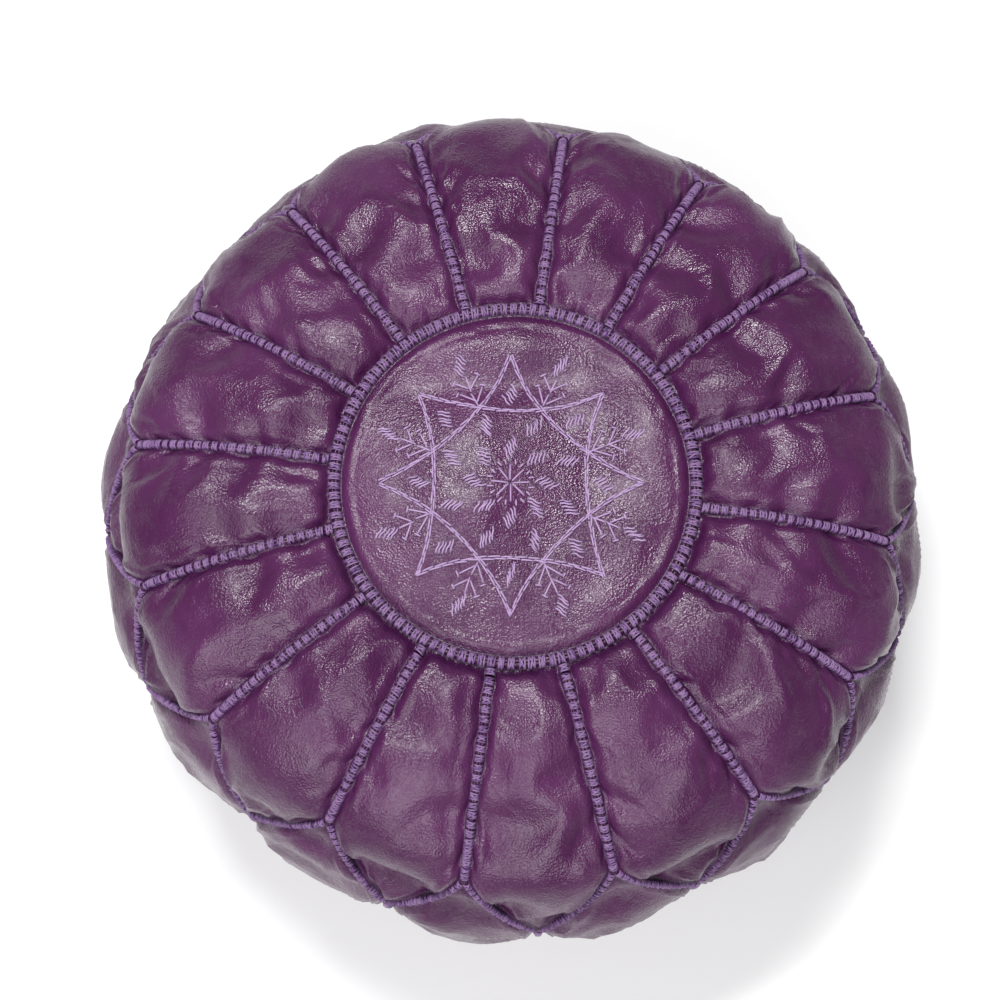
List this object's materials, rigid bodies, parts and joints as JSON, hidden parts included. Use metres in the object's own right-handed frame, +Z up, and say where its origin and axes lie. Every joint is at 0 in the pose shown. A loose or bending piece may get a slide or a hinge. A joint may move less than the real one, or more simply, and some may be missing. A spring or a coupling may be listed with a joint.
{
  "type": "leather pouf",
  "caption": "Round Moroccan pouf of stitched plum leather: petal panels round an embroidered medallion, pointed side panels, and a zipped flat base.",
  "frame": {"origin": "middle of the flat base, on the floor", "axes": "+Z up through the medallion; +X along the zip, from its shut end to its bottom stop; +Y to the back"},
  "size_m": [0.5326, 0.5326, 0.2874],
  "materials": {
    "leather": "glazed plum goatskin with fine grain and soft creases",
    "seam_thread": "lustrous lavender whipping thread",
    "stuffing": "matt cotton",
    "zip_tape": "matt woven tape",
    "zip_metal": "satin"
  },
  "bodies": {
    "pouf": {"medallion": "leather", "top_petal_01": "leather", "top_petal_02": "leather", "top_petal_03": "leather", "top_petal_04": "leather", "top_petal_05": "leather", "top_petal_06": "leather", "top_petal_07": "leather", "top_petal_08": "leather", "top_petal_09": "leather", "top_petal_10": "leather", "top_petal_11": "leather", "top_petal_12": "leather", "top_petal_13": "leather", "top_petal_14": "leather", "top_petal_15": "leather", "top_petal_16": "leather", "side_panel_01": "leather", "side_panel_02": "leather", "side_panel_03": "leather", "side_panel_04": "leather", "side_panel_05": "leather", "side_panel_06": "leather", "side_panel_07": "leather", "side_panel_08": "leather", "side_panel_09": "leather", "side_panel_10": "leather", "side_panel_11": "leather", "side_panel_12": "leather", "side_panel_13": "leather", "side_panel_14": "leather", "side_panel_15": "leather", "side_panel_16": "leather", "base_half_back": "leather", "base_half_front": "leather", "zip_facing_back": "leather", "zip_facing_front": "leather", "stuffing": "stuffing", "crown_seam": "seam_thread", "shoulder_seam": "seam_thread", "base_seam": "seam_thread", "zip_tape_back": "zip_tape", "zip_tape_front": "zip_tape", "zip_teeth_back": "zip_metal", "zip_teeth_front": "zip_metal", "zip_top_stop_back": "zip_metal", "zip_top_stop_front": "zip_metal", "zip_bottom_stop": "zip_metal"},
    "zip_slider": {"zip_slider": "zip_metal"},
    "zip_pull": {"zip_pull": "zip_metal"}
  },
  "joints": [
    {"name": "zip_slider_slide", "type": "slide", "parent": "pouf", "child": "zip_slider", "axis": [1, 0, 0], "range_m": [0, 0.252], "deforming": ["zip_teeth_back", "zip_teeth_front"]},
    {"name": "zip_pull_hinge", "type": "hinge", "parent": "zip_slider", "child": "zip_pull", "pos_m": [-0.127, 0, 0.00505], "axis": [0, 1, 0], "range_deg": [-8, 150]}
  ]
}
